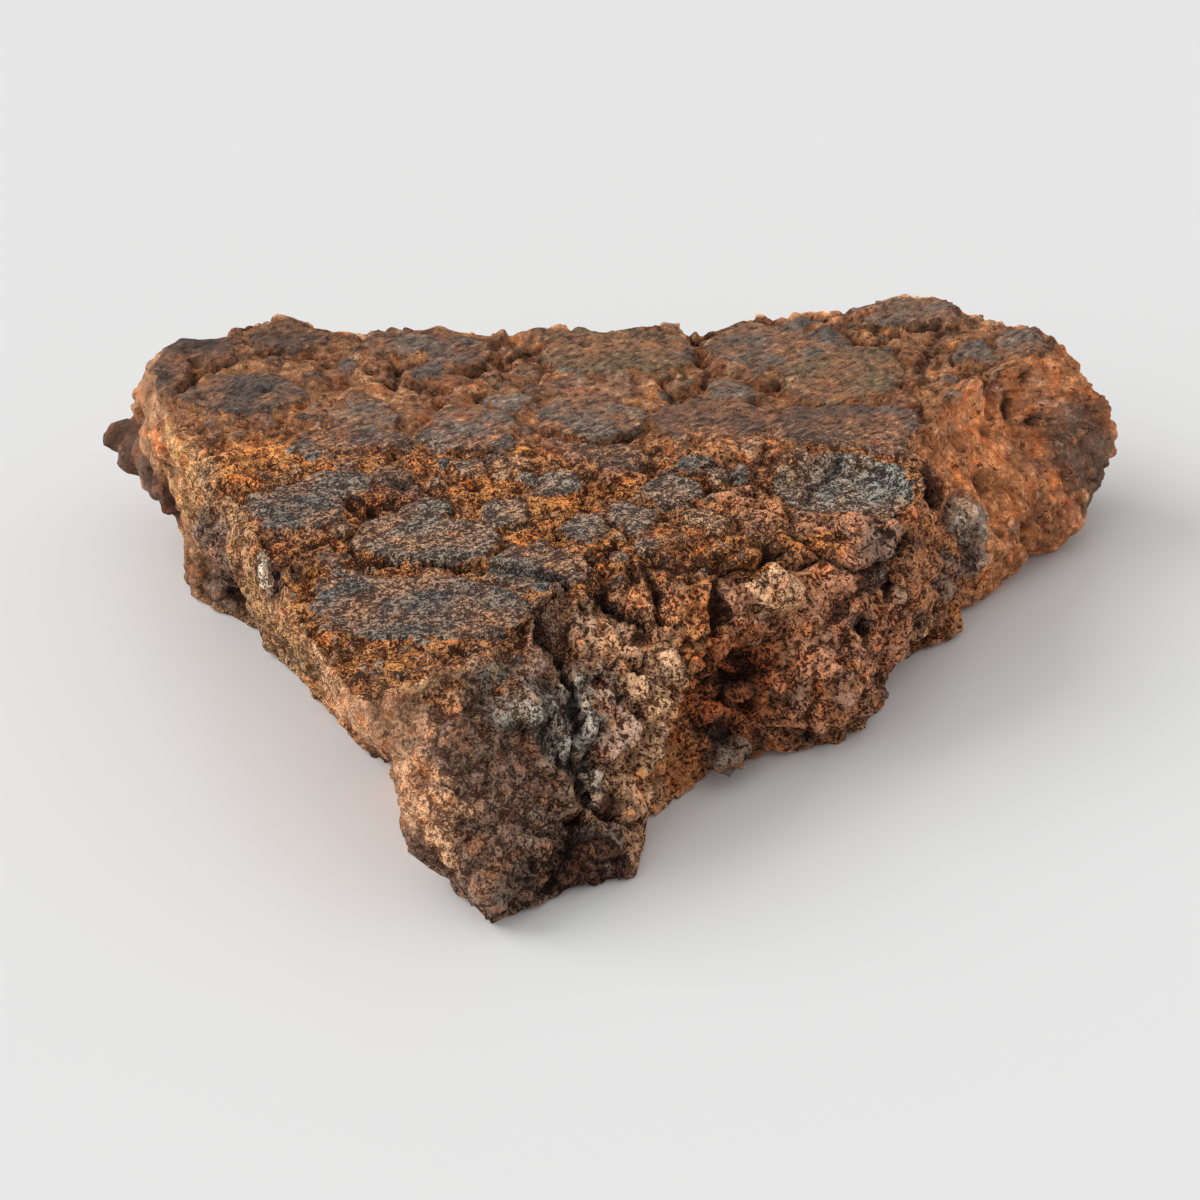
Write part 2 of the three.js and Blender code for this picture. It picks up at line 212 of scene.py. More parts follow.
# The slice: chondrules and hollows of the broken edge
# The stone broke round its hardest grains, so whole chondrules stand out of the edge and others left hollows.
# Each row is a bearing from the axis in degrees, a height, a half width, a half height, how far it stands
# proud (less than nothing for a hollow, nothing for a patch of colour) and its tint.
TINTS = {
    "pale": (118, 113, 105),
    "slate": (102, 92, 84),
    "ash": (128, 115, 104),
    "grey": (120, 103, 90),
    "mauve": (108, 88, 78),
    "olive": (122, 98, 72),
    "umber": (100, 76, 63),
    # Painted shade: the dark tint fills the hollows of the break, and a few lumps carry it as well.
    "dark_and_shade": (72, 48, 38),
    "sooty": (86, 66, 55),
    "plum": (94, 79, 72),
    "burnt": (126, 73, 47),
    "pink": (146, 112, 93),
    "tan": (156, 116, 87),
    "sand": (190, 140, 106),
    "ochre": (126, 92, 62),
    "rusty": (138, 88, 57),
    "rosy": (138, 92, 68),
    "chalk": (198, 174, 152),
}
FRONT_CORNER = [
    (256, 3.6, 3.0, 3.6, 0.6, "umber"), (246, 4.6, 1.0, 2.4, 0, "sand"), (259, 5.0, 2.0, 1.0, 0.25, "ash"),
    (257.8, 6.0, 0.9, 0.8, 0.4, "pink"), (255, 6.1, 0.8, 0.4, 0, "pale"), (251.5, 6.3, 1.3, 0.4, 0, "sand"),
    (258.3, 0.9, 0.5, 0.9, 0.5, "umber"), (262, 1.0, 1.0, 0.7, 0.3, "umber"),
    (254.6, 3.3, 0.35, 0.35, 0.15, "tan"), (248, 4.9, 0.8, 1.5, 0, "sand"), (250, 3.8, 0.8, 1.0, 0, "sand"),
    (251.9, 2.8, 0.8, 0.9, 0, "tan"), (254, 2.0, 0.7, 0.6, 0, "tan"), (247, 2.6, 0.5, 0.6, 0.35, "sand"),
    (243, 3.6, 0.5, 0.6, 0.7, "dark_and_shade"),
]
BLOCK_BESIDE_CORNER = [
    (278, 4.2, 1.4, 1.8, 0.35, "tan"), (280, 2.0, 1.4, 1.8, 0, "rusty"), (276, 2.4, 1.4, 0.9, 0.35, "tan"),
    (269.7, 4.0, 1.15, 1.15, 0.5, "pink"), (267.3, 3.2, 0.75, 0.8, 0.4, "grey"),
    (265.5, 5.0, 0.5, 0.5, 0.3, "grey"), (269.7, 5.2, 0.55, 0.5, 0.35, "grey"),
    (273, 5.6, 0.9, 0.5, 0.3, "sand"), (268.5, 1.0, 1.7, 1.3, 0.2, "dark_and_shade"),
    (270.5, 2.0, 1.4, 0.4, -0.2, "dark_and_shade"), (264.3, 4.3, 0.9, 1.5, 0.6, "ash"),
]
DEEP_HOLLOW = [
    (293, 3.0, 1.7, 2.0, -1.45, "burnt"), (299, 4.2, 1.4, 1.0, -0.7, "burnt"),
    (290, 1.2, 0.8, 0.8, 0.5, "umber"), (297, 1.0, 0.5, 0.45, 0.4, "dark_and_shade"),
    (296.5, 2.7, 0.5, 0.4, 0.4, "burnt"), (301, 3.2, 0.6, 0.5, 0.4, "burnt"),
]
BLOCK_BEYOND_HOLLOW = [
    (313, 4.2, 1.7, 1.7, 0.35, "rosy"), (304.5, 5.7, 1.1, 1.0, 0.5, "tan"),
    (295, 5.6, 0.6, 0.9, 0.35, "rosy"), (306, 1.7, 1.3, 1.0, 0.35, "rosy"), (331, 2.0, 1.8, 1.9, 0, "rosy"),
    (320, 1.8, 1.0, 1.0, 0.3, "rosy"), (308, 0.8, 0.8, 0.45, 0.3, "umber"),
    (329, 5.9, 2.4, 1.5, 0.45, "rosy"), (332, 5.7, 1.5, 0.8, 0, "umber"), (322, 4.9, 1.6, 0.4, -0.4, "dark_and_shade"),
    (321.5, 3.5, 0.5, 0.9, -0.5, "dark_and_shade"), (332, 4.4, 0.5, 0.5, -0.4, "dark_and_shade"),
]
RIGHT_BREAK = [
    (20, 6.0, 2.4, 1.6, -0.45, "rusty"), (10, 4.0, 1.6, 1.5, -0.2, "rusty"),
    (20.5, 3.0, 1.4, 2.0, 0.35, "sooty"), (4.3, 3.3, 1.0, 1.0, 0.2, "grey"),
    (3, 2.2, 0.8, 0.9, 0.2, "mauve"), (354, 2.6, 0.8, 0.8, 0, "umber"), (346, 1.3, 0.9, 0.9, 0.3, "tan"),
    (3.9, 5.0, 0.8, 0.7, -0.7, "dark_and_shade"),
]
LEFT_BREAK = [
    (176, 5.2, 1.8, 1.9, 0.15, "ochre"), (192, 4.4, 1.3, 1.7, 0.25, "sooty"),
    (172, 5.8, 1.2, 0.8, 0.25, "rusty"), (160.5, 3.0, 1.7, 1.5, 0.5, "sooty"),
    (159, 3.5, 1.1, 0.9, 0.5, "sooty"), (158, 3.9, 0.65, 0.5, 0.65, "sooty"),
    (167, 3.0, 1.1, 0.8, 0.2, "dark_and_shade"), (182, 2.0, 0.9, 1.0, 0.4, "sooty"),
    (177.4, 0.9, 1.2, 0.8, 0.35, "sooty"), (203, 2.4, 1.0, 0.9, 0.3, "sooty"),
    (208, 4.0, 1.3, 1.3, 0, "ochre"), (229, 4.6, 1.8, 1.9, 0, "ochre"),
    (213, 6.2, 0.75, 0.95, 0.15, "chalk"), (217, 6.4, 0.6, 0.7, -0.4, "dark_and_shade"),
]
BACK_LUMPS = 16
BACK_STEPS = (0.618, 0.755, 0.57)  # of bearing, height and size, from one lump to the next
BACK_BEARINGS = (36, 152)
BACK_HEIGHTS = (0.9, 6.2)
BACK_HALF_SIZES = (0.8, 2.0)
BACK_PROUD = 0.42  # share of its half size
BACK_TINTS = ["umber", "tan", "rusty", "mauve", "pink"]
EDGE_RAGGEDNESS = [(1.1, 0.28), (0.5, 0.15)]  # sizes and heights of the unevenness of their outlines
LUMP_ROUNDNESS = 0.6
HOLLOW_ROUNDNESS = 1.4
MOAT_WIDTH = 0.16
EDGE_COLOURS = [
    (0, (128, 83, 55)), (30, (131, 87, 61)), (90, (140, 102, 74)), (150, (120, 90, 70)), (175, (117, 86, 61)),
    (230, (140, 100, 70)), (246, (180, 134, 100)), (256, (104, 80, 66)), (270, (144, 107, 83)),
    (285, (152, 97, 61)), (300, (132, 83, 56)), (325, (126, 84, 60)),
]
SHELF_MIDDLE = (7.9, -2.4)
SHELF_HALVES = (2.5, 2.0)
SHELF_TURN = -4
SHELF_DROP = 0.55
BREAK_SWELLS = [(2.6, 0.42), (1.2, 0.24)]
TOP_SWELL = (3.4, 0.1)
TOP_WEATHERING = 0.1
LEAST_CLEARANCE = 0.05
SAWN_LEVELNESS = (0.72, 0.95)  # upward part of the normal where the saw cut begins and where it is whole
SAWN_HEIGHTS = (5.4, 6.2)


def smoothstep(value, low, high):
    """Rises from 0 at low to 1 at high, level at both ends."""
    share = np.clip((value - low) / (high - low), 0, 1)
    return share * share * (3 - 2 * share)


def linear(red, green, blue):
    """Light of a screen colour given from 0 to 255: its share to the power 2.2."""
    return (np.array([red, green, blue]) / 255) ** 2.2


def corner_value(i, j, k):
    """Repeatable number from 0 to 1 for a lattice corner: its three whole numbers, mixed bit by bit."""
    i, j, k = (np.asarray(value).astype(np.int64).astype(np.uint32) for value in (i, j, k))
    mixed = (i * np.uint32(0x8DA6B343)) ^ (j * np.uint32(0xD8163841)) ^ (k * np.uint32(0xCB1AB31F))
    mixed = (mixed ^ (mixed >> np.uint32(13))) * np.uint32(0x5BD1E995)
    return (mixed ^ (mixed >> np.uint32(15))) / 2**32


def swell(points, size):
    """Unevenness from -1 to 1: lattice corners that far apart, blended smoothly along each axis."""
    cell = np.floor(points / size)
    blend = smoothstep(points / size - cell, 0, 1)
    total = 0
    for far in np.ndindex(2, 2, 2):
        weight = np.prod(np.where(far, blend, 1 - blend), axis=-1)
        total = total + weight * corner_value(*(cell + far).T)
    return 2 * total - 1


def warped(points, shifts):
    """Points moved about by unevenness of each given size and height, drawn afresh for each axis."""
    moves = [[height * swell(points + 50 * axis, size) for axis in range(3)] for size, height in shifts]
    return points + np.sum(moves, axis=0).T


def edge_colour(bearing):
    """Colour round the break: straight in bearing from one named place to the next."""
    turns = [turn for turn, colour in EDGE_COLOURS]
    shades = np.array([linear(*colour) for turn, colour in EDGE_COLOURS])
    return np.stack([np.interp(bearing, turns, shades[:, band], period=360) for band in range(3)], axis=-1)


def back_chondrules():
    """Chondrules of the unseen back edge, spread by golden-section steps of bearing, height and size."""
    steps = np.arange(1, BACK_LUMPS + 1)[:, None] * BACK_STEPS
    ranges = (BACK_BEARINGS, BACK_HEIGHTS, BACK_HALF_SIZES)
    turns, heights, halves = (
        low + (high - low) * share for (low, high), share in zip(ranges, (steps - np.floor(steps)).T)
    )
    tints = [BACK_TINTS[number % len(BACK_TINTS)] for number in range(BACK_LUMPS)]
    return zip(turns, heights, halves, halves, BACK_PROUD * halves, tints)


def broken_relief(points, colour):
    """Lift of the edge by its features, each a dome over an oval of its two half sizes, their tints painted
    over one another, and the moat round the lumps: a bell over the distance from the outline."""
    lift = np.zeros(len(points))
    moat = np.zeros(len(points))
    ragged = warped(points, EDGE_RAGGEDNESS)
    groups = (FRONT_CORNER, BLOCK_BESIDE_CORNER, DEEP_HOLLOW, BLOCK_BEYOND_HOLLOW, RIGHT_BREAK, LEFT_BREAK)
    for middle, height, half_width, half_height, proud, name in [*sum(groups, []), *back_chondrules()]:
        offset = ragged - on_edge(np.array(middle), np.array(height))
        level = offset @ (-np.sin(np.radians(middle)), np.cos(np.radians(middle)), 0)
        upright_squared = np.sum(offset**2, axis=1) - level**2
        oval = (level / half_width) ** 2 + upright_squared / half_height**2
        roundness = LUMP_ROUNDNESS if proud > 0 else HOLLOW_ROUNDNESS
        lift += proud * np.maximum(1 - oval, 0) ** roundness
        inside = (1 - np.sqrt(oval)) * min(half_width, half_height)
        if proud > 0:
            moat = np.maximum(moat * smoothstep(-inside, -0.5, 0), np.exp(-((inside / MOAT_WIDTH) ** 2)))
        paint = smoothstep(np.sqrt(oval), 1.2, 0.8)[:, None]
        colour = paint * linear(*TINTS[name]) + (1 - paint) * colour
    return lift, colour, moat * smoothstep(swell(points + 70, 1.6), -0.3, 0.3)


def shelf_drop(points):
    """Drop of the top at the large sawn chondrule: level inside a turned oval, with a short slope round."""
    dx, dy = (points[:, :2] - SHELF_MIDDLE).T
    turn = radians(SHELF_TURN)
    length = (dx * cos(turn) + dy * sin(turn)) / SHELF_HALVES[0]
    width = (dy * cos(turn) - dx * sin(turn)) / SHELF_HALVES[1]
    return SHELF_DROP * (1 - smoothstep(np.hypot(length, width), 0.8, 1.15))


lift, break_colour, moat = broken_relief(rough, edge_colour(bearing))
break_swell = sum(height * swell(rough, size) for size, height in BREAK_SWELLS)
top_swell = TOP_SWELL[1] * swell(rough, TOP_SWELL[0]) - TOP_WEATHERING
rim_reach = np.linalg.norm(on_edge(bearing, np.full(len(rough), THICKNESS))[:, :2], axis=1)
from_rim = on_top * smoothstep(np.linalg.norm(rough[:, :2], axis=1) / rim_reach, 1.0, 0.93)
lift = from_rim * top_swell + (1 - from_rim) * (lift + break_swell)
normals = point_normals(rough, quads)
form = rough + normals * (lift * smoothstep(rough[:, 2], 0, FOOT_WEAR))[:, None]
form[:, 2] -= shelf_drop(form) * smoothstep(form[:, 2], LEVELS[1], THICKNESS)
form[:, 2] = np.where(underneath, form[:, 2], np.clip(form[:, 2], LEAST_CLEARANCE, THICKNESS))
form_normals = point_normals(form, quads)
sawn_flat = smoothstep(form_normals[:, 2] + 0.15 * swell(form, 0.7), *SAWN_LEVELNESS)
cut = np.where(underneath, 1, sawn_flat * smoothstep(form[:, 2], *SAWN_HEIGHTS))


# The slice: chondrules sawn through on the top
# The saw cut them level with the matrix, so they show as flat ovals. The matrix has weathered a little lower.
# Each row is the place of the middle, the two half sizes, the turn in degrees and the tint.
SAWN = [
    (7.92, -1.85, 2.38, 1.72, -3, "pale"), (-12.9, 4.2, 2.1, 1.35, 8, "plum"),
    (-14.9, 7.8, 1.6, 1.0, 10, "sooty"), (-11.7, 8.7, 1.6, 1.1, 0, "umber"),
    (-7.5, 8.3, 1.4, 0.95, 0, "grey"), (-6.5, 6.0, 0.62, 0.6, 0, "slate"),
    (-3.5, 3.9, 0.7, 0.55, 0, "pale"), (-5.4, 7.5, 1.4, 1.15, 0, "mauve"),
    (-0.7, 2.6, 1.9, 1.6, -5, "grey"), (3.4, 2.4, 2.15, 1.6, 0, "umber"),
    (-4.8, 1.7, 1.7, 1.6, 0, "grey"), (-8.6, 2.4, 1.12, 1.32, 0, "grey"),
    (-8.6, 1.0, 2.0, 0.9, 0, "mauve"), (-10.3, 0.2, 0.77, 0.53, 0, "slate"),
    (-7.3, -1.7, 0.76, 0.85, 0, "umber"), (-10.4, -3.9, 1.8, 1.5, -15, "slate"),
    (-6.0, -5.7, 2.45, 1.6, -12, "grey"), (-3.5, -4.2, 0.86, 1.0, 0, "grey"),
    (-1.7, -2.1, 0.87, 0.86, 0, "grey"), (-0.8, -5.1, 0.82, 1.0, 0, "grey"),
    (1.0, -4.7, 0.66, 1.0, 0, "grey"), (-2.3, -7.8, 1.9, 1.4, -10, "slate"),
    (-6.1, -10.2, 3.5, 2.1, -5, "slate"), (1.9, -2.7, 1.1, 1.0, 0, "grey"),
    (2.5, -1.0, 0.5, 0.7, 0, "slate"), (3.3, -4.6, 0.66, 0.83, 0, "tan"),
    (5.2, -4.7, 0.9, 1.0, 0, "rosy"), (7.6, 1.9, 2.4, 1.8, 0, "umber"), (9.6, 1.5, 1.0, 2.1, 0, "mauve"),
    (5.9, 8.2, 2.7, 1.85, 0, "slate"), (8.2, 6.0, 2.2, 2.3, 0, "olive"),
    (10.6, 10.8, 2.2, 0.9, 0, "grey"), (0.2, 7.5, 2.7, 1.95, 0, "olive"),
    (4.2, 4.5, 0.88, 0.94, 0, "grey"), (13.2, 7.7, 0.72, 0.98, 0, "slate"),
    (14.8, 8.5, 0.81, 0.99, 0, "grey"), (-9.3, 6.4, 0.44, 0.58, 0, "slate"),
    (-9.2, -2.4, 1.2, 1.1, 0, "grey"), (-3.8, 0.7, 0.51, 0.64, 0, "slate"),
    (-3.5, -1.0, 0.68, 0.7, 0, "tan"), (-4.6, -1.1, 0.42, 0.59, 0, "grey"),
    (-2.9, -1.9, 0.39, 0.45, 0, "grey"), (-1.2, 4.8, 1.05, 0.76, 0, "pink"),
    (0.3, 4.9, 0.62, 0.91, 0, "pink"), (5.3, 6.9, 0.61, 1.13, 0, "grey"),
    (2.0, 7.4, 0.89, 0.86, 0, "slate"), (-6.1, -3.7, 0.83, 0.61, 0, "grey"),
    (-9.0, -7.5, 0.36, 0.64, 0, "umber"), (0.5, -4.1, 0.5, 0.67, 0, "grey"),
    (1.8, -5.9, 0.82, 0.52, 0, "rusty"), (4.4, -1.2, 0.29, 0.56, 0, "slate"),
    (4.2, -2.9, 0.32, 0.51, 0, "slate"), (-14.0, 7.4, 0.64, 1.17, 0, "umber"),
    (-1.0, 0.0, 0.68, 0.78, 0, "umber"), (0.2, -0.5, 0.85, 0.88, 0, "umber"),
    (8.6, 2.0, 0.69, 1.28, 0, "mauve"), (11.1, 10.9, 1.28, 0.82, 0, "slate"),
    (-5.4, 5.3, 0.62, 0.49, 0, "rusty"), (-15.6, 5.9, 0.8, 1.5, 0, "sooty"),
]
SAWN_RAGGEDNESS = [(1.3, 0.28), (0.6, 0.14)]
OUTSIDE = -2.0  # depth where no grain is near
SHELF_HEIGHT = 5.6  # the large chondrule is sawn above this
BREAK_REACH = 2.0  # how far before it the stone is broken, in its own half sizes


def sawn_depth(points):
    """Depth inside the nearest sawn chondrule and its tint: one less the oval's own radius, times its lesser
    half size. The points are first warped by unevenness, so that no outline is a true oval."""
    ragged = warped(points, SAWN_RAGGEDNESS)
    depth = np.full(len(points), OUTSIDE)
    tint = np.zeros((len(points), 3))
    for x, y, half_length, half_width, turn, name in SAWN:
        dx, dy = (ragged[:, :2] - (x, y)).T
        along = dx * cos(radians(turn)) + dy * sin(radians(turn))
        across = dy * cos(radians(turn)) - dx * sin(radians(turn))
        inside = (1 - np.hypot(along / half_length, across / half_width)) * min(half_length, half_width)
        tint = np.where((inside > depth)[:, None], linear(*TINTS[name]), tint)
        depth = np.maximum(depth, inside)
    return depth, tint


top_depth, top_tint = sawn_depth(form)
shelf_x, shelf_y, shelf_length, shelf_width = SAWN[0][:4]
from_shelf = np.hypot((form[:, 0] - shelf_x) / shelf_length, (form[:, 1] - shelf_y) / shelf_width)
on_shelf = (form[:, 2] > SHELF_HEIGHT) * smoothstep(from_shelf, 1.1, 1.0)
broken_off = smoothstep(shelf_y - form[:, 1], 0.1, 0.7) * (from_shelf < BREAK_REACH)
broken_off = broken_off * smoothstep(from_shelf, 1.0, 1.08)
cut = np.where(underneath, 1, np.maximum(cut * (1 - broken_off), on_shelf))


# The slice: small chondrules all through the stone
# Grains of a quarter to one millimetre crowd the matrix between the large ones. The saw cuts show their
# sections and the break shows them as knobs. On the unseen underside and back, coarser ones lie among them.
# Each kind has the side of a lattice cell, the least and greatest radius, and the share of cells with one.
LARGER_GRAINS = (1.25, (0.2, 0.52), 0.8)
SMALLER_GRAINS = (0.7, (0.12, 0.3), 0.7)
HIDDEN_GRAINS = (3.1, (0.8, 1.5), 0.85)
HIDDEN_BEARINGS = (28, 156)
GRAIN_RAGGEDNESS = [(0.6, 0.12)]
FINE_TINTS = ["grey", "umber", "tan", "rusty", "rosy", "slate", "pink", "rusty"]


def scattered_depth(points, cell, radii, share):
    """Depth inside the nearest ball of a jittered lattice, that ball's radius and its tint: each cell holds a
    ball with the given chance, its middle anywhere in the cell and its radius between the two given."""
    home = np.floor(points / cell)
    depth = np.full(len(points), OUTSIDE)
    ball = np.full(len(points), radii[0])
    tint = np.zeros((len(points), 3))
    palette = np.array([linear(*TINTS[name]) for name in FINE_TINTS])
    for near in np.ndindex(3, 3, 3):
        corner = home + near - 1.0
        chance, size, hue, *place = (corner_value(*(corner + 71 * draw).T) for draw in range(1, 7))
        radius = radii[0] + (radii[1] - radii[0]) * size
        away = np.linalg.norm(points - (corner + np.stack(place, axis=-1)) * cell, axis=1)
        inside = np.where(chance < share, radius - away, OUTSIDE)
        nearer = inside > depth
        tint = np.where(nearer[:, None], palette[(hue * len(palette)).astype(int)], tint)
        ball = np.where(nearer, radius, ball)
        depth = np.where(nearer, inside, depth)
    return depth, ball, tint


def nearer_grain(first, second):
    """Of two sets of grains, the depth, radius and tint of the one each point lies deeper in."""
    deeper = second[0] > first[0]
    return [
        np.where(deeper if old.ndim == 1 else deeper[:, None], new, old) for old, new in zip(first, second)
    ]


scatter_points = warped(form, GRAIN_RAGGEDNESS)
larger = scattered_depth(scatter_points, *LARGER_GRAINS)
smaller = scattered_depth(scatter_points + 20, *SMALLER_GRAINS)
fine_depth, fine_radius, fine_tint = nearer_grain(larger, smaller)
coarse_depth, _, coarse_tint = scattered_depth(scatter_points + 40, *HIDDEN_GRAINS)
hidden_edge = on_break & (bearing > HIDDEN_BEARINGS[0]) & (bearing < HIDDEN_BEARINGS[1])
coarse_depth = np.where(underneath | hidden_edge, coarse_depth, OUTSIDE)


# The slice: cracks and pits
# Weathering opened cracks round the blocks of the front edge and across the top, and left pits in the cuts
# and upright pits in the right break. Edge cracks run through bearings and heights, and edge pits give one of
# each, a half width and a half height. Top cracks run through places on the cut, and top pits add a radius.
EDGE_CRACKS = [
    [(287.5, 3.6), (289.6, 4.7), (291.5, 5.9), (293.4, 6.4), (299.5, 6.5), (306.2, 6.5), (310.6, 6.6)],
    [(320.1, 6.6), (319.5, 6.1), (321, 5.7), (322.8, 5.4), (330.3, 5.1), (337.7, 5.3), (346, 5.5)],
    [(309, 6.4), (313, 6.0), (318.8, 6.0)],
    [(259, 6.5), (260.4, 6.0), (264.3, 4.9), (265.6, 3.9), (265.4, 3.4), (267.7, 2.5), (273.8, 0.9)],
    [(265, 6.4), (268.2, 6.5), (273, 6.2), (277.5, 5.9)],
    [(282.9, 4.3), (283.5, 3.2), (284.9, 1.9)],
    [(267, 2.3), (265.5, 1.2), (264.2, 0.3)],
]
TOP_CRACKS = [
    [(-15.1, 4.2), (-14.8, 5.6), (-13.9, 6.3), (-13.2, 6.9)],
    [(-6.2, -7.4), (-4.3, -7.5), (-2.3, -8.2), (-1.4, -8.9)],
    [(3.9, -8.1), (4.8, -7.1), (5.9, -5.9)],
    [(5.5, -2.6), (5.9, -3.8), (6.1, -4.7)],
]
HAIR_CRACK = [(7.7, -0.5), (7.2, -1.25), (6.7, -2.1), (6.4, -2.6)]  # across the large sawn chondrule
HAIR_CRACK_SHARE = 0.45
CRACK_STEPS = 6  # to a stretch
CRACK_WANDER = [(0.9, 0.14), (0.45, 0.08)]
CRACK_WIDTH = 0.12
CRACK_DEPTH = 0.5
EDGE_PITS = [
    (20.9, 5.4, 0.25, 0.45), (18.6, 5.1, 0.2, 0.4), (21.2, 4.7, 0.2, 0.5), (11, 4.2, 0.25, 0.5),
    (22.4, 6.2, 0.2, 0.35), (3.9, 5.0, 0.4, 0.4), (261.8, 1.1, 0.25, 0.3), (321.5, 3.5, 0.25, 0.4),
    (332.3, 4.4, 0.3, 0.35), (290.3, 1.7, 0.4, 0.35), (286, 2.1, 0.2, 0.35),
]
TOP_PITS = [
    (-12.1, 4.6, 0.16), (-14.2, 3.9, 0.14), (-0.9, 8.0, 0.16), (-0.9, -7.9, 0.18), (-6.9, -2.2, 0.3),
    (-10.25, -7.4, 0.4),
]
PIT_DEPTH = 0.38


def form_point(rough_point):
    """Point of the form that grew out of the rough form nearest to a place."""
    return form[np.argmin(np.sum((rough - rough_point) ** 2, axis=1))]


def along(path):
    """Path with even steps put in between its stops."""
    stops = np.array(path, float)
    steps = np.arange((len(stops) - 1) * CRACK_STEPS + 1) / CRACK_STEPS
    return np.stack([np.interp(steps, np.arange(len(stops)), stops[:, axis]) for axis in (0, 1)], axis=-1)


def crack_closeness(points, path):
    """1 on a line of straight stretches, falling as a bell of the crack's width with distance from it."""
    nearest = np.full(len(points), np.inf)
    for start, end in zip(path[:-1], path[1:]):
        run = end - start
        share = np.clip((points - start) @ run / max(run @ run, 1e-9), 0, 1)
        nearest = np.minimum(nearest, np.linalg.norm(points - start - share[:, None] * run, axis=1))
    return np.exp(-((nearest / CRACK_WIDTH) ** 2))


wobble = warped(form, CRACK_WANDER) - form
wobbled = form + wobble - np.sum(wobble * form_normals, axis=1, keepdims=True) * form_normals
crack = np.zeros(len(form))
for path in EDGE_CRACKS:
    crack = np.maximum(crack, crack_closeness(wobbled, [form_point(on_edge(*stop)) for stop in along(path)]))
for share, path in [*((1, path) for path in TOP_CRACKS), (HAIR_CRACK_SHARE, HAIR_CRACK)]:
    stops = [form_point((*stop, THICKNESS)) for stop in along(path)]
    crack = np.maximum(crack, share * crack_closeness(wobbled, stops))
pit = np.zeros(len(form))
for turn, height, half_width, half_height in EDGE_PITS:
    squared = (wobbled - form_point(on_edge(turn, height))) ** 2
    level = (squared[:, 0] + squared[:, 1]) / half_width**2
    pit = np.maximum(pit, np.exp(-level - squared[:, 2] / half_height**2))
for x, y, radius in TOP_PITS:
    pit = np.maximum(pit, on_top * np.exp(-np.sum((wobbled[:, :2] - (x, y)) ** 2, axis=1) / radius**2))


# The slice: its finished surface
# The rough form, with the grains, cracks, pits and the crumbly texture of the break worked into it. Blocks of
# the break stand higher or lower than their neighbours, with creases between them.
FINE_LIFT = 0.35  # share of its radius by which a small chondrule stands out of the break
CRUMBS = [(0.9, 0.1), (0.46, 0.12), (0.28, 0.09)]
CRUMBLINESS = [  # bearing, and share of the crumbs, knobs and holes that the break has there
    (0, 0.76), (25, 0.76), (40, 0.9), (146, 0.9), (158, 0.45), (168, 0.7), (235, 0.65), (246, 0.45),
    (252, 0.65), (262, 0.7), (267, 1.0), (284, 1.0), (290, 1.3), (300, 1.2), (306, 1.0), (330, 1.0),
    (342, 0.7),
]
BLOCKS = [(1.7, 0.17, 0.22), (0.75, 0.09, 0.14)]  # size, height above or below the rest, depth of the creases
BLOCK_RAGGEDNESS = [(0.8, 0.12), (0.4, 0.06)]
CREASE_WIDTH = 0.13
HOLE_SIZES = (0.62, 0.36)
HOLE_DEPTH = 0.42
HOLE_SLENDERNESS = (1, 1, 0.55)
MOAT_DEPTH = 0.16
GRAIN_RISE = 0.15
GROOVE_DEPTH = 0.08


def broken_blocks(points, size):
    """Blocks the stone breaks into: each point belongs to the nearest middle of a jittered lattice. Gives the
    block's own number from -1 to 1, and the crease: a bell over how much farther the next middle is."""
    home = np.floor(points / size)
    nearest = np.full(len(points), np.inf)
    second = np.full(len(points), np.inf)
    number = np.zeros(len(points))
    for near in np.ndindex(3, 3, 3):
        corner = home + near - 1.0
        own, *place = (corner_value(*(corner + 83 * draw).T) for draw in range(1, 5))
        away = np.linalg.norm(points - (corner + np.stack(place, axis=-1)) * size, axis=1)
        second = np.minimum(second, np.maximum(nearest, away))
        number = np.where(away < nearest, 2 * own - 1, number)
        nearest = np.minimum(nearest, away)
    return number, np.exp(-(((second - nearest) / CREASE_WIDTH) ** 2))


crumbs = sum(height * swell(form, size) for size, height in CRUMBS)
crease = np.zeros(len(form))
block_points = warped(form, BLOCK_RAGGEDNESS)
for size, height, depth in BLOCKS:
    number, border = broken_blocks(block_points, size)
    border = border * smoothstep(swell(form + 10 * size, 2 * size), -0.5, 0.2)
    crumbs = crumbs + height * number - depth * border
    crease = np.maximum(crease, border * depth / BLOCKS[0][2])
upright = form * HOLE_SLENDERNESS
holes = smoothstep(swell(upright + 30, HOLE_SIZES[0]) + 0.6 * swell(upright + 90, HOLE_SIZES[1]), 0.35, 0.9)
knobs = FINE_LIFT * np.sqrt(np.maximum(fine_depth, 0) * fine_radius)
crumbliness = np.interp(bearing, *zip(*CRUMBLINESS), period=360)
crumbs, knobs, holes = (crumbliness * part for part in (crumbs, knobs, holes))
crease = crease * smoothstep(crumbliness, 0.35, 0.9)
break_fine = crumbs + knobs - MOAT_DEPTH * moat - HOLE_DEPTH * holes
sawn_grain = np.where(underneath, coarse_depth, top_depth)
flat_grain = np.maximum(sawn_grain, fine_depth)
in_matrix = smoothstep(-flat_grain, -0.08, 0.12)
groove = np.exp(-(((sawn_grain + 0.05) / 0.1) ** 2)) * smoothstep(swell(form + 60, 1.4), -0.4, 0.2)
matrix_drop = in_matrix * (GRAIN_RISE - 0.9 * crumbs + 0.8 * HOLE_DEPTH * holes)
cut_fine = 0.12 * crumbs - matrix_drop - GROOVE_DEPTH * groove
fine = np.where(underneath, 0, cut * cut_fine + (1 - cut) * break_fine)
fine = fine - CRACK_DEPTH * crack - PIT_DEPTH * pit
raised = smoothstep(form[:, 2], 0, 0.6)
outwards = np.stack([np.cos(np.radians(bearing)), np.sin(np.radians(bearing)), 0 * bearing], axis=-1)
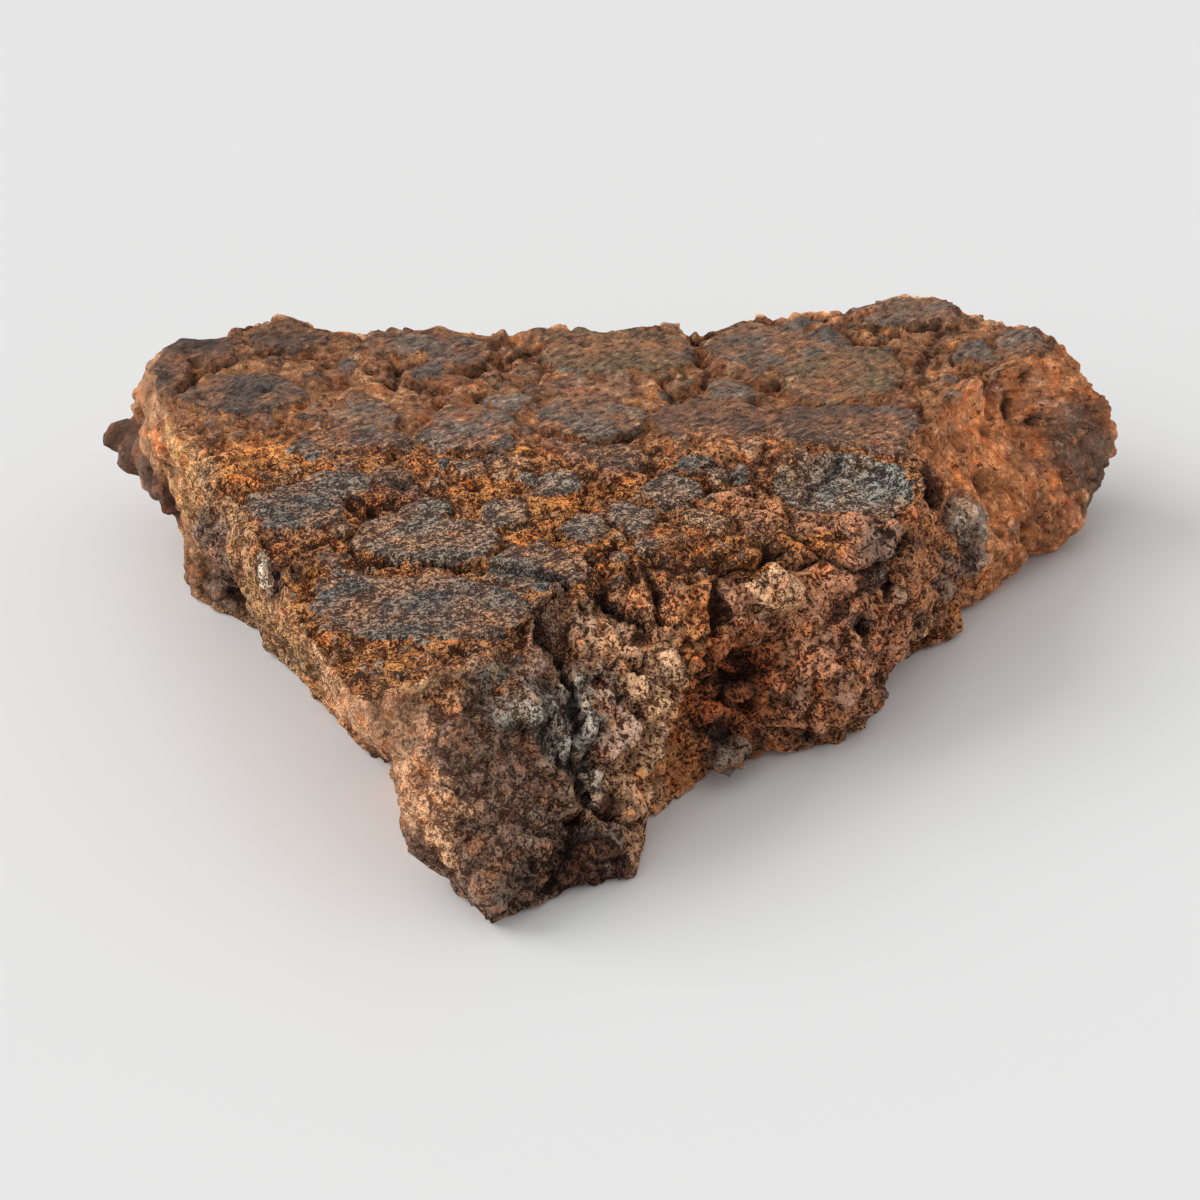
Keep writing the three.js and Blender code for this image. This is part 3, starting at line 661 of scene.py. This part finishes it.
at_foot = ~on_top & (order < top_count + EDGE_ROWS * STATIONS)
ragged_foot = at_foot * (1 - raised) * np.clip(1.3 * crumbs - 0.3 * holes, -0.35, 0.2)
surface = form + form_normals * (fine * raised)[:, None] + outwards * ragged_foot[:, None]
surface[:, 2] = np.where(underneath, 0, np.clip(surface[:, 2], LEAST_CLEARANCE, THICKNESS + 0.05))
# Painted light and shade: the colour follows the height of crumbs, knobs, holes and creases, paler where they
# are raised and darker where they are sunk.
cut_relief_shading = in_matrix * (0.11 + 1.2 * crumbs - 0.6 * holes - 0.4 * crease)
break_relief_shading = 0.1 + 0.14 * smoothstep(crumbliness, 0.7, 1.0) + crumbs + 0.5 * knobs - 0.5 * holes
relief_shading = cut * cut_relief_shading + (1 - cut) * break_relief_shading

stone_mesh = bpy.data.meshes.new("meteorite_slice_stone")
stone_mesh.from_pydata((surface + AXIS) / 1000, [], [*quads.tolist(), *triangles.tolist()])
stone_mesh.polygons.foreach_set("use_smooth", np.ones(len(stone_mesh.polygons), bool))
meteorite_stone = bpy.data.objects.new("meteorite_stone", stone_mesh)
bpy.context.collection.objects.link(meteorite_stone)
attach(meteorite_stone, "root")
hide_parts("meteorite_slice")


# The slice: colour of the matrix
# Rusted iron and fine silicate: brown with rust and a little orange on the cuts, duller towards the back, and
# on the break the dusty tan to grey brown of its grains.
# The break is painted paler than its tints, partly for pale dust and partly as painted light that stands in
# for the light its upright faces miss.
DUST_AND_PAINTED_LIGHT = 2.6  # how many times paler the break is than the tints of its grains when sawn
LEAST_DUST_AND_PAINTED_LIGHT = 2.2  # the same where the break lies level
GRAIN_DUST_AND_PAINTED_LIGHT = 0.85  # share of it on the grains
PALEST = 0.95  # brightest that a colour may be
FOOT_SHADE = 0.75  # share of its brightness that the break keeps at its foot
CUT_BROWN = (164, 107, 70)
CUT_RUST = (186, 118, 68)
CUT_ORANGE = (190, 118, 62)
CUT_DULL = (146, 106, 78)
DULLEST = 0.7  # share of the dull colour at the back
LEAST_CRISP = 0.3  # crispness of the fine texture at the back, as a share of the front's

rust = smoothstep(swell(form, 2.2) + 0.6 * swell(form, 0.9), -0.3, 0.7)[:, None]
orange = smoothstep(swell(form + 15, 1.7) + 0.6 * swell(form + 15, 0.8), 0.35, 0.9)[:, None]
cut_colour = rust * linear(*CUT_RUST) + (1 - rust) * linear(*CUT_BROWN)
cut_colour = orange * linear(*CUT_ORANGE) + (1 - orange) * cut_colour
dull = DULLEST * smoothstep(form[:, 1:2], -2.0, 5.0)
cut_colour = dull * linear(*CUT_DULL) + (1 - dull) * cut_colour
foot_shade = FOOT_SHADE + (1 - FOOT_SHADE) * smoothstep(form[:, 2], 0.3, 3.0)[:, None]
# Painted light: upright faces of the break are painted paler than level ones, which the light reaches better.
dust_and_painted_light = LEAST_DUST_AND_PAINTED_LIGHT + (DUST_AND_PAINTED_LIGHT - LEAST_DUST_AND_PAINTED_LIGHT) * smoothstep(form_normals[:, 2:], 1.0, 0.55)
break_colour = dust_and_painted_light * break_colour
break_colour = break_colour * np.minimum(1, PALEST / break_colour.max(axis=1, keepdims=True))
matrix = cut[:, None] * cut_colour + (1 - cut[:, None]) * break_colour * foot_shade
sawn_tint = np.where(underneath[:, None], coarse_tint, top_tint)
hue = np.where((sawn_grain * cut > fine_depth)[:, None], sawn_tint, fine_tint)
grain = np.maximum(fine_depth, sawn_grain - 2 * (1 - cut))
back_hue = np.where((coarse_depth > fine_depth)[:, None], coarse_tint, hue)
back_edge = hidden_edge & (coarse_depth > 0)
hue = np.where(back_edge[:, None], back_hue, hue)
hue = hue * (cut[:, None] + (1 - cut[:, None]) * dust_and_painted_light * GRAIN_DUST_AND_PAINTED_LIGHT)
hue = hue * np.minimum(1, PALEST / hue.max(axis=1, keepdims=True))
grain = np.where(back_edge, np.maximum(coarse_depth, fine_depth), grain)
# Painted shade: the break's creases, moats and deep hollows, the grooves round the sawn grains and the
# matrix's holes and creases are painted darker, as are the cracks and pits, partly for their own dark and
# partly as painted shade.
sunk_shade = (1 - cut) * (0.55 * moat + 0.65 * crease + 0.45 * np.maximum(-lift - 0.3, 0))
sunk_shade = sunk_shade + cut * (0.35 * groove + in_matrix * (0.5 * holes + 0.35 * crease))
crevice_shade = np.clip(crack + pit + sunk_shade, 0, 1)
# The fine texture is crispest at the front and fades towards the back. The smoother stretches of the break,
# which crumble least, are dusty.
crisp_front = LEAST_CRISP + (1 - LEAST_CRISP) * smoothstep(form[:, 1], 4.5, -3.5)
dusty_break = (1 - cut) * smoothstep(crumbliness, 0.8, 0.45)


def write_attribute(name, kind, field, values):
    """One value, or one colour, for each point of the stone."""
    layer = stone_mesh.attributes.new(name, kind, "POINT")
    layer.data.foreach_set(field, np.ascontiguousarray(values, dtype=np.float32).ravel())


opaque = np.ones((len(form), 1))
write_attribute("grain_depth", "FLOAT", "value", np.clip(grain, -1, 1))
write_attribute("grain_tint", "FLOAT_COLOR", "color", np.hstack([hue, opaque]))
write_attribute("matrix_tint", "FLOAT_COLOR", "color", np.hstack([matrix, opaque]))
write_attribute("crevice_shade", "FLOAT", "value", crevice_shade)
write_attribute("relief_shading", "FLOAT", "value", relief_shading)
write_attribute("cut", "FLOAT", "value", cut)
write_attribute("crisp", "FLOAT", "value", crisp_front)
write_attribute("dusty", "FLOAT", "value", dusty_break)


# The slice: its stone
# Matte, rusty and porous: a curling mesh of pale ridges round dark pits runs through matrix and grains, and
# the sawn grains keep the marks of the saw and a faint gleam.
# Shade in crevices, pores and round the grains, and light and shade by the height of the relief, are painted
# into its colour.
weathered_stone = bpy.data.materials.new("weathered_stone")
weathered_stone.use_nodes = True
stone_tree = weathered_stone.node_tree
stone_shader = stone_tree.nodes["Principled BSDF"]


def shader_node(kind, settings, **sockets):
    """Adds a node to the stone's material, sets its settings, and links or sets the sockets named."""
    added = stone_tree.nodes.new(kind)
    for name, value in settings.items():
        setattr(added, name, value)
    for name, value in sockets.items():
        socket = added.inputs[int(name[1:]) if name[0] == "_" else name.replace("_", " ")]
        if isinstance(value, bpy.types.NodeSocket):
            stone_tree.links.new(value, socket)
        else:
            socket.default_value = value
    return added


def arithmetic(operation, first, second=0.0):
    """The result of one arithmetic operation on two numbers."""
    return shader_node("ShaderNodeMath", {"operation": operation}, _0=first, _1=second).outputs[0]


def vector_arithmetic(operation, first, second, third=(0.0, 0.0, 0.0)):
    """The result of one arithmetic operation on places, taken axis by axis."""
    settings = {"operation": operation}
    return shader_node("ShaderNodeVectorMath", settings, _0=first, _1=second, _2=third).outputs[0]


def ramp(value, low, high, start=0.0, end=1.0):
    """Rises smoothly from start at low to end at high."""
    settings = {"interpolation_type": "SMOOTHSTEP"}
    sockets = {"_0": value, "_1": low, "_2": high, "_3": start, "_4": end}
    return shader_node("ShaderNodeMapRange", settings, **sockets).outputs[0]


def blend(share, first, second, kind="MIX"):
    """Colour between two, by a share."""
    settings = {"data_type": "RGBA", "blend_type": kind}
    return shader_node("ShaderNodeMix", settings, _0=share, _6=first, _7=second).outputs[2]


def attribute(name):
    """A value or colour written on the points of the stone."""
    return shader_node("ShaderNodeAttribute", {"attribute_name": name}).outputs


def cloud(where, size, detail, roughness=0.55):
    """Noise round 0.5 with patches of about that size in millimetres, as a number and as three."""
    sockets = {"Vector": where, "Scale": 1000 / size, "Detail": detail, "Roughness": roughness}
    return shader_node("ShaderNodeTexNoise", {"normalize": True}, **sockets).outputs


def add_up(*terms):
    """0.5 plus each noise's distance from 0.5 times its strength."""
    total = 0.5
    for noise, strength in terms:
        total = arithmetic("ADD", total, arithmetic("MULTIPLY", arithmetic("SUBTRACT", noise, 0.5), strength))
    return total


place = shader_node("ShaderNodeTexCoord", {}).outputs["Object"]
CURL = 0.0006
curls = cloud(place, 0.35, 2.0)[1]
curled = vector_arithmetic("MULTIPLY_ADD", curls, (CURL, CURL, CURL), place)
SAW_BEARING = radians(43)
SAW_STRETCH = (0.3, 1.0, 1.0)
turned = shader_node("ShaderNodeVectorRotate", {"rotation_type": "Z_AXIS"}, Vector=place, Angle=-SAW_BEARING)
drawn_out = vector_arithmetic("MULTIPLY", turned.outputs[0], SAW_STRETCH)

patches = cloud(place, 1.7, 2.0)[0]
mottle = cloud(place, 0.55, 2.0, 0.6)[0]
specks = cloud(place, 0.085, 1.5, 0.6)[0]
crumble = cloud(place, 0.26, 1.0, 0.5)[0]
froth = cloud(curled, 0.19, 1.0, 0.5)[0]
saw_marks = cloud(drawn_out, 0.15, 1.5)[0]

crisp = attribute("crisp")[2]
dusty = attribute("dusty")[2]
sawn_level = attribute("cut")[2]
grain_depth = arithmetic("ADD", attribute("grain_depth")[2], ramp(mottle, 0.3, 0.7, -0.13, 0.13))
in_grain = ramp(grain_depth, -0.04, 0.06)
stain = arithmetic("MULTIPLY", ramp(patches, 0.35, 0.65), ramp(crisp, LEAST_CRISP, 1.0, 0.75, 0.45))
clean = arithmetic("MULTIPLY", arithmetic("SUBTRACT", 1.0, stain), ramp(sawn_level, 0.0, 1.0, 0.5, 1.0))
grain_share = arithmetic("MULTIPLY", in_grain, clean)
rim_gate = ramp(patches, 0.38, 0.56)
# Painted shade: a dark line along the outlines of the grains, which the bump also sinks as a shallow groove.
rim_groove_and_shade = arithmetic("MULTIPLY", ramp(arithmetic("ABSOLUTE", grain_depth), 0.02, 0.1, 1.0, 0.0), rim_gate)
sawn = arithmetic("MULTIPLY", in_grain, sawn_level)

pore_depth = arithmetic("SUBTRACT", froth, ramp(crisp, LEAST_CRISP, 1.0, 0.36, 0.45))
solid = ramp(pore_depth, -0.12, 0.0)
pore_rim = arithmetic("MULTIPLY", ramp(pore_depth, -0.04, 0.03), ramp(pore_depth, 0.03, 0.13, 1.0, 0.0))
fine_contrast = ramp(crisp, LEAST_CRISP, 1.0, 0.3, 3.4)
rough_tone = add_up((mottle, 2.0), (crumble, 2.0), (froth, 2.6), (specks, fine_contrast), (pore_rim, 0.9))
sawn_tone = add_up(
    (saw_marks, 2.4), (crumble, 2.2), (froth, 2.2), (specks, fine_contrast), (mottle, 1.2), (pore_rim, 0.9)
)
tones = {"_0": sawn, "_2": rough_tone, "_3": sawn_tone}
mixed_tone = shader_node("ShaderNodeMix", {"data_type": "FLOAT"}, **tones).outputs[0]
# Painted light and shade by the height of the relief.
tone = arithmetic("ADD", mixed_tone, arithmetic("MULTIPLY", attribute("relief_shading")[2], 1.5))
tone = arithmetic("MULTIPLY", arithmetic("SUBTRACT", tone, 0.5), ramp(crisp, LEAST_CRISP, 1.0, 0.55, 1.2))
brightening = arithmetic("ADD", ramp(sawn, 0.0, 1.0, 0.62, 0.46), ramp(crisp, LEAST_CRISP, 1.0, 0.0, 0.14))
tone = arithmetic("ADD", tone, brightening)

tint = blend(grain_share, attribute("matrix_tint")[0], attribute("grain_tint")[0])
warm = blend(1.0, tint, (1.3, 0.98, 0.72, 1), "MULTIPLY")
warm_patches = ramp(cloud(place, 0.7, 2.0)[0], 0.48, 0.7)
warmth = arithmetic("MULTIPLY", warm_patches, ramp(grain_share, 0.0, 1.0, 1.0, 0.3))
tint = blend(warmth, tint, warm)
low = blend(1.0, tint, blend(dusty, (0.2, 0.15, 0.13, 1), (0.78, 0.72, 0.66, 1)), "MULTIPLY")
paleness = blend(sawn_level, (2.6, 2.9, 3.0, 1), (2.8, 3.2, 3.3, 1))
high = blend(1.0, tint, blend(dusty, paleness, (1.25, 1.3, 1.35, 1)), "MULTIPLY")
# The pores are painted dark, partly for their own colour and partly as painted shade within them.
shaded_pore = blend(1.0, tint, blend(dusty, (0.34, 0.26, 0.22, 1), (0.75, 0.68, 0.62, 1)), "MULTIPLY")
colour = blend(ramp(tone, -0.15, 0.5), low, tint)
colour = blend(ramp(tone, 0.5, 1.2), colour, high)
colour = blend(solid, shaded_pore, colour)
# Painted shade: crevices, cracks, pits and the rims of the grains are painted towards black.
shadow = arithmetic("MAXIMUM", arithmetic("MULTIPLY", rim_groove_and_shade, 0.6), attribute("crevice_shade")[2])
colour = blend(arithmetic("MULTIPLY", shadow, 0.9), colour, (0.012, 0.006, 0.004, 1))
stone_tree.links.new(colour, stone_shader.inputs["Base Color"])
stone_tree.links.new(ramp(sawn, 0.0, 1.0, 0.92, 0.6), stone_shader.inputs["Roughness"])
stone_shader.inputs["Specular IOR Level"].default_value = 0.3

height = add_up((mixed_tone, 0.6), (solid, 0.7))
height = arithmetic("SUBTRACT", height, arithmetic("MULTIPLY", rim_groove_and_shade, 0.5))
strength = arithmetic("MULTIPLY", ramp(sawn, 0.0, 1.0, 1.0, 0.75), ramp(crisp, LEAST_CRISP, 1.0, 0.5, 1.0))
bump = shader_node("ShaderNodeBump", {}, Strength=strength, Distance=0.0002, Height=height)
stone_tree.links.new(bump.outputs[0], stone_shader.inputs["Normal"])
stone_mesh.materials.append(weathered_stone)


# Studio light
# An even pale surround, a broad soft light from high on the left and a little behind the stone, and a wide
# white reflector that throws weaker light back from the front left.
world = bpy.data.worlds.new("pale_surround")
world.use_nodes = True
world.node_tree.nodes["Background"].inputs["Color"].default_value = (1.0, 1.0, 1.0, 1)
world.node_tree.nodes["Background"].inputs["Strength"].default_value = 0.62
bpy.context.scene.world = world

window = bpy.data.lights.new("window", "SUN")
window.energy = 1.6
window.angle = radians(38)
window_holder = bpy.data.objects.new("window", window)
window_holder.rotation_euler = Vector((0.85, -0.2, -0.6)).to_track_quat("-Z", "Y").to_euler()
bpy.context.collection.objects.link(window_holder)

reflector = bpy.data.lights.new("reflector", "SUN")
reflector.energy = 0.8
reflector.angle = radians(60)
reflector_holder = bpy.data.objects.new("reflector", reflector)
reflector_holder.rotation_euler = Vector((0.75, 0.45, -0.45)).to_track_quat("-Z", "Y").to_euler()
bpy.context.collection.objects.link(reflector_holder)


# Camera
# A close portrait view from the front, thirty degrees above the table.
IMAGE_SIDE = 1200
FOCAL_PIXELS = 3770
DISTANCE = 0.13  # metres
RISE = radians(30)
LOOK_HEIGHT = 0.0032
AIM = AXIS / 1000 + (-0.00034, -0.00403, LOOK_HEIGHT)
STAND = AXIS / 1000 + (0, -DISTANCE * cos(RISE), LOOK_HEIGHT + DISTANCE * sin(RISE))
camera = bpy.data.objects.new("camera", bpy.data.cameras.new("camera"))
camera.data.lens = camera.data.sensor_width * FOCAL_PIXELS / IMAGE_SIDE
camera.data.clip_start = 0.005
camera.location = STAND
camera.rotation_euler = (Vector(AIM) - Vector(STAND)).to_track_quat("-Z", "Y").to_euler()
bpy.context.collection.objects.link(camera)
bpy.context.scene.camera = camera
bpy.context.scene.view_settings.view_transform = "Standard"
